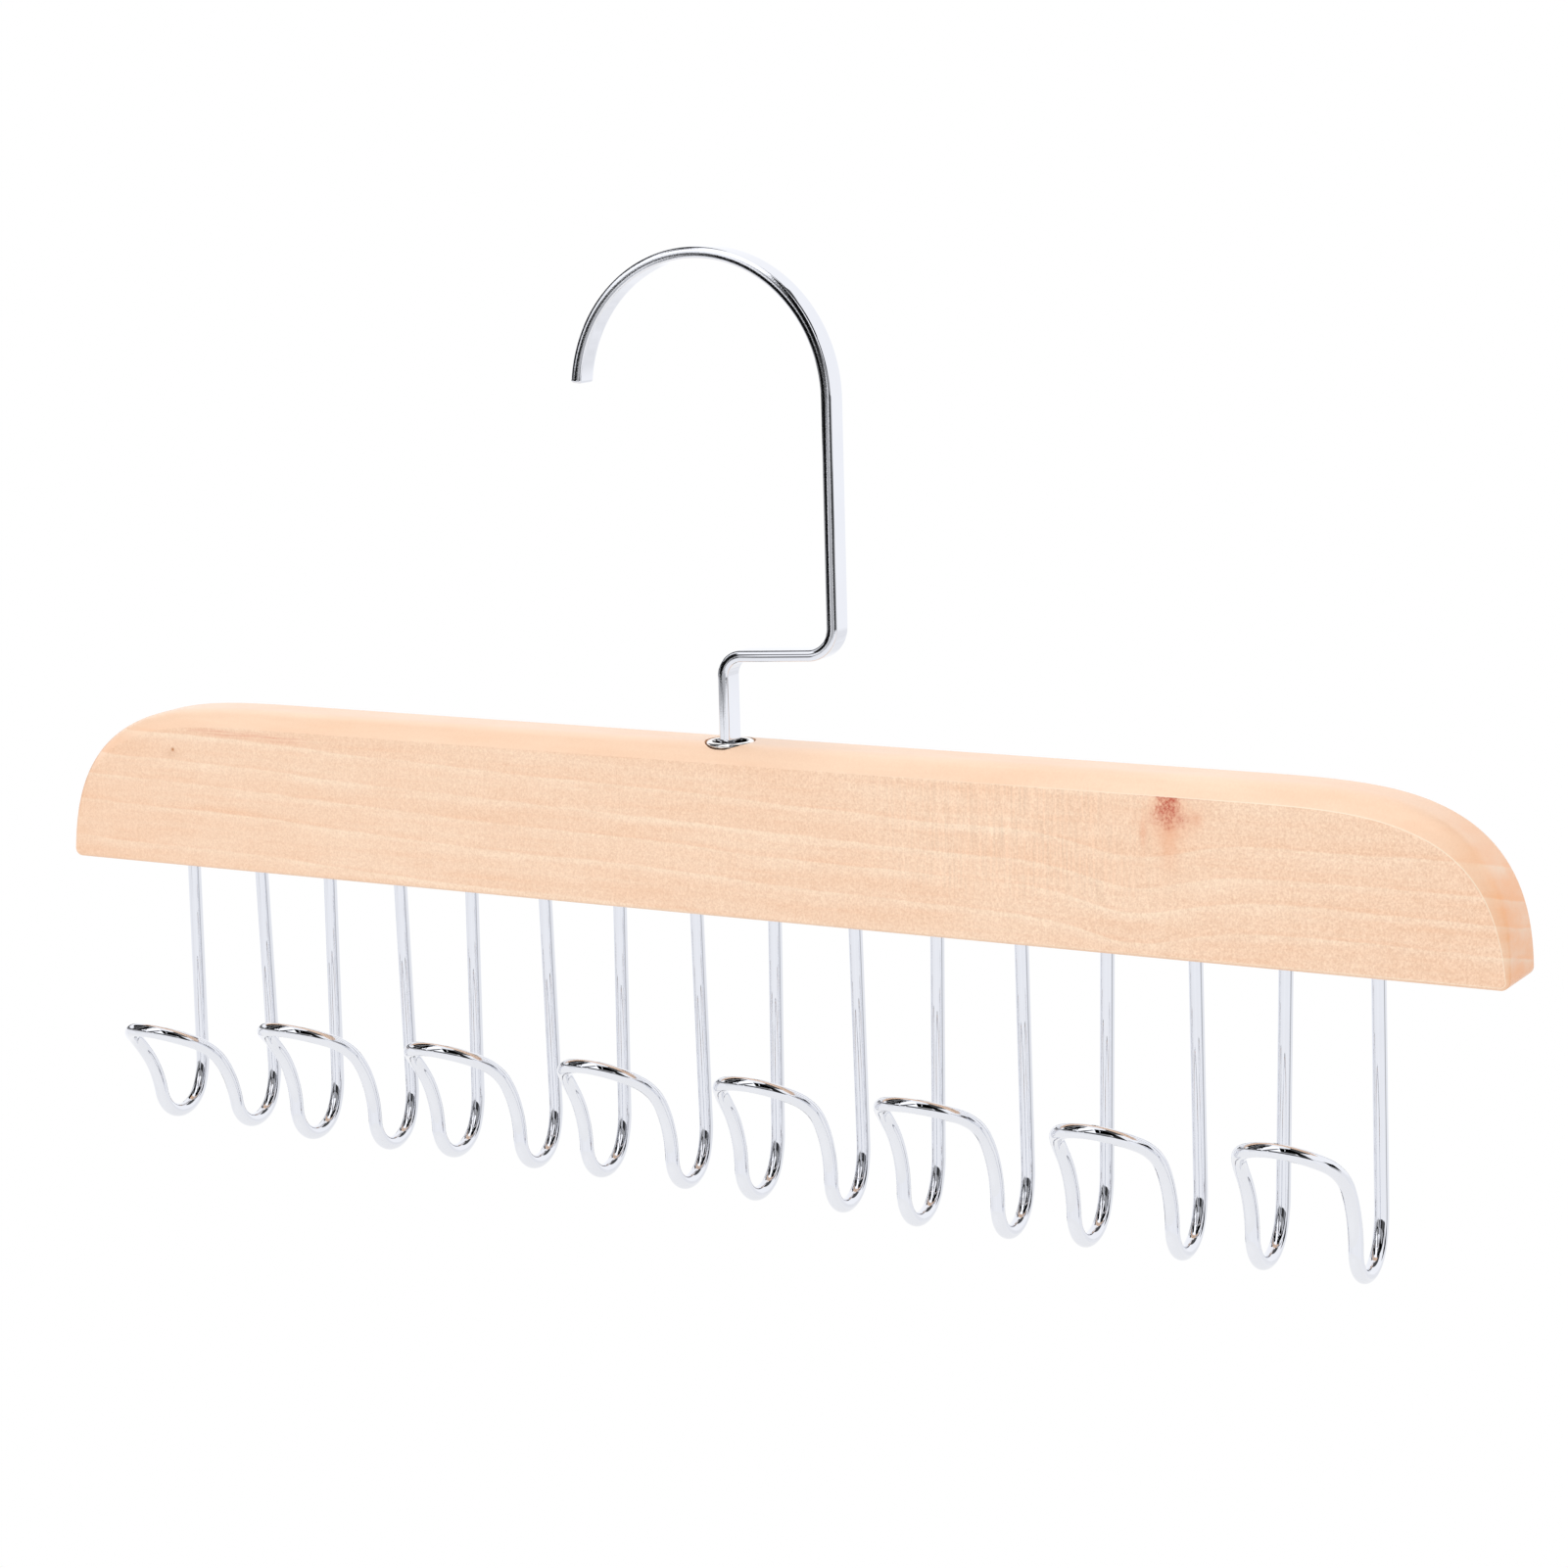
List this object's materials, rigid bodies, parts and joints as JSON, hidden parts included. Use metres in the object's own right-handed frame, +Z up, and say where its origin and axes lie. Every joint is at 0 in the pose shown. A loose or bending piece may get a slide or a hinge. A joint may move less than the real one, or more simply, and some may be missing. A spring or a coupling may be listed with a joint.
{
  "type": "belt hanger",
  "caption": "Wooden hanger bar with a flat metal swivel hook above and a row of bent wire hooks below, for hanging belts by their buckles.",
  "frame": {"origin": "rod seat: the underside of the flat hook's arch, midway across the strip", "axes": "+X along the wooden bar, towards the upright of the hook; -Y towards the front, where the wire hooks reach; +Z up"},
  "size_m": [0.36, 0.0456, 0.2097],
  "materials": {
    "pale_maple": "satin lacquer",
    "polished_chrome": "polished",
    "zinc_plate": "dull"
  },
  "bodies": {
    "hook": {"swivel_hook": "polished_chrome", "thrust_washer": "zinc_plate"},
    "bar": {"wooden_bar": "pale_maple", "top_eyelet": "polished_chrome", "belt_hook_1": "polished_chrome", "belt_hook_2": "polished_chrome", "belt_hook_3": "polished_chrome", "belt_hook_4": "polished_chrome", "belt_hook_5": "polished_chrome", "belt_hook_6": "polished_chrome", "belt_hook_7": "polished_chrome", "belt_hook_8": "polished_chrome"}
  },
  "joints": [
    {"name": "hook_swivel", "type": "hinge", "parent": "hook", "child": "bar", "pos_m": [0.0039, 0, -0.1053], "axis": [0, 0, 1], "continuous": true}
  ]
}
